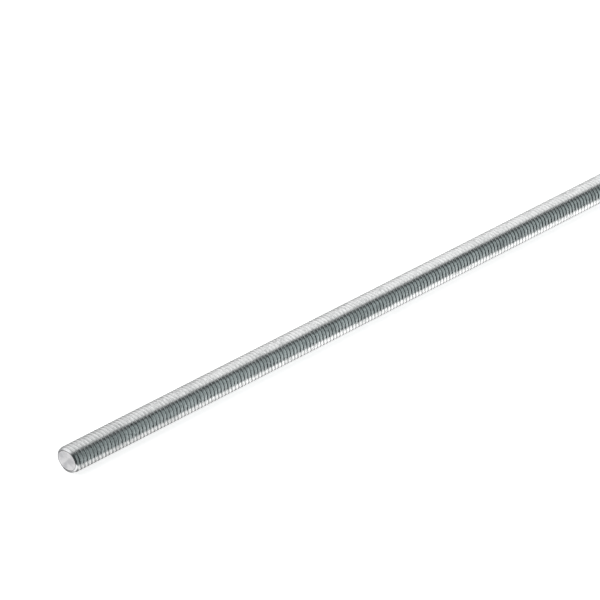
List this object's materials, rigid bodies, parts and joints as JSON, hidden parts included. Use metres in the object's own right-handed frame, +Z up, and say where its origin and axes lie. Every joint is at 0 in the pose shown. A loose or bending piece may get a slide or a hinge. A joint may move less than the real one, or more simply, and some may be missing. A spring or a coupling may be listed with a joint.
{
  "type": "threaded rod",
  "caption": "Long straight steel rod, threaded over its whole length, with a small chamfer at each flat end, for nuts, anchors and hangers.",
  "frame": {"origin": "centre of the near end face, on the rod's axis", "axes": "+X runs along the rod from the near end face to the far one, and +Z is up as the rod lies in the picture"},
  "size_m": [1, 0.0058, 0.006],
  "materials": {
    "zinc_plated_steel": "bright zinc plating on a rolled thread"
  },
  "bodies": {
    "root": {"threaded_rod": "zinc_plated_steel"}
  },
  "joints": []
}
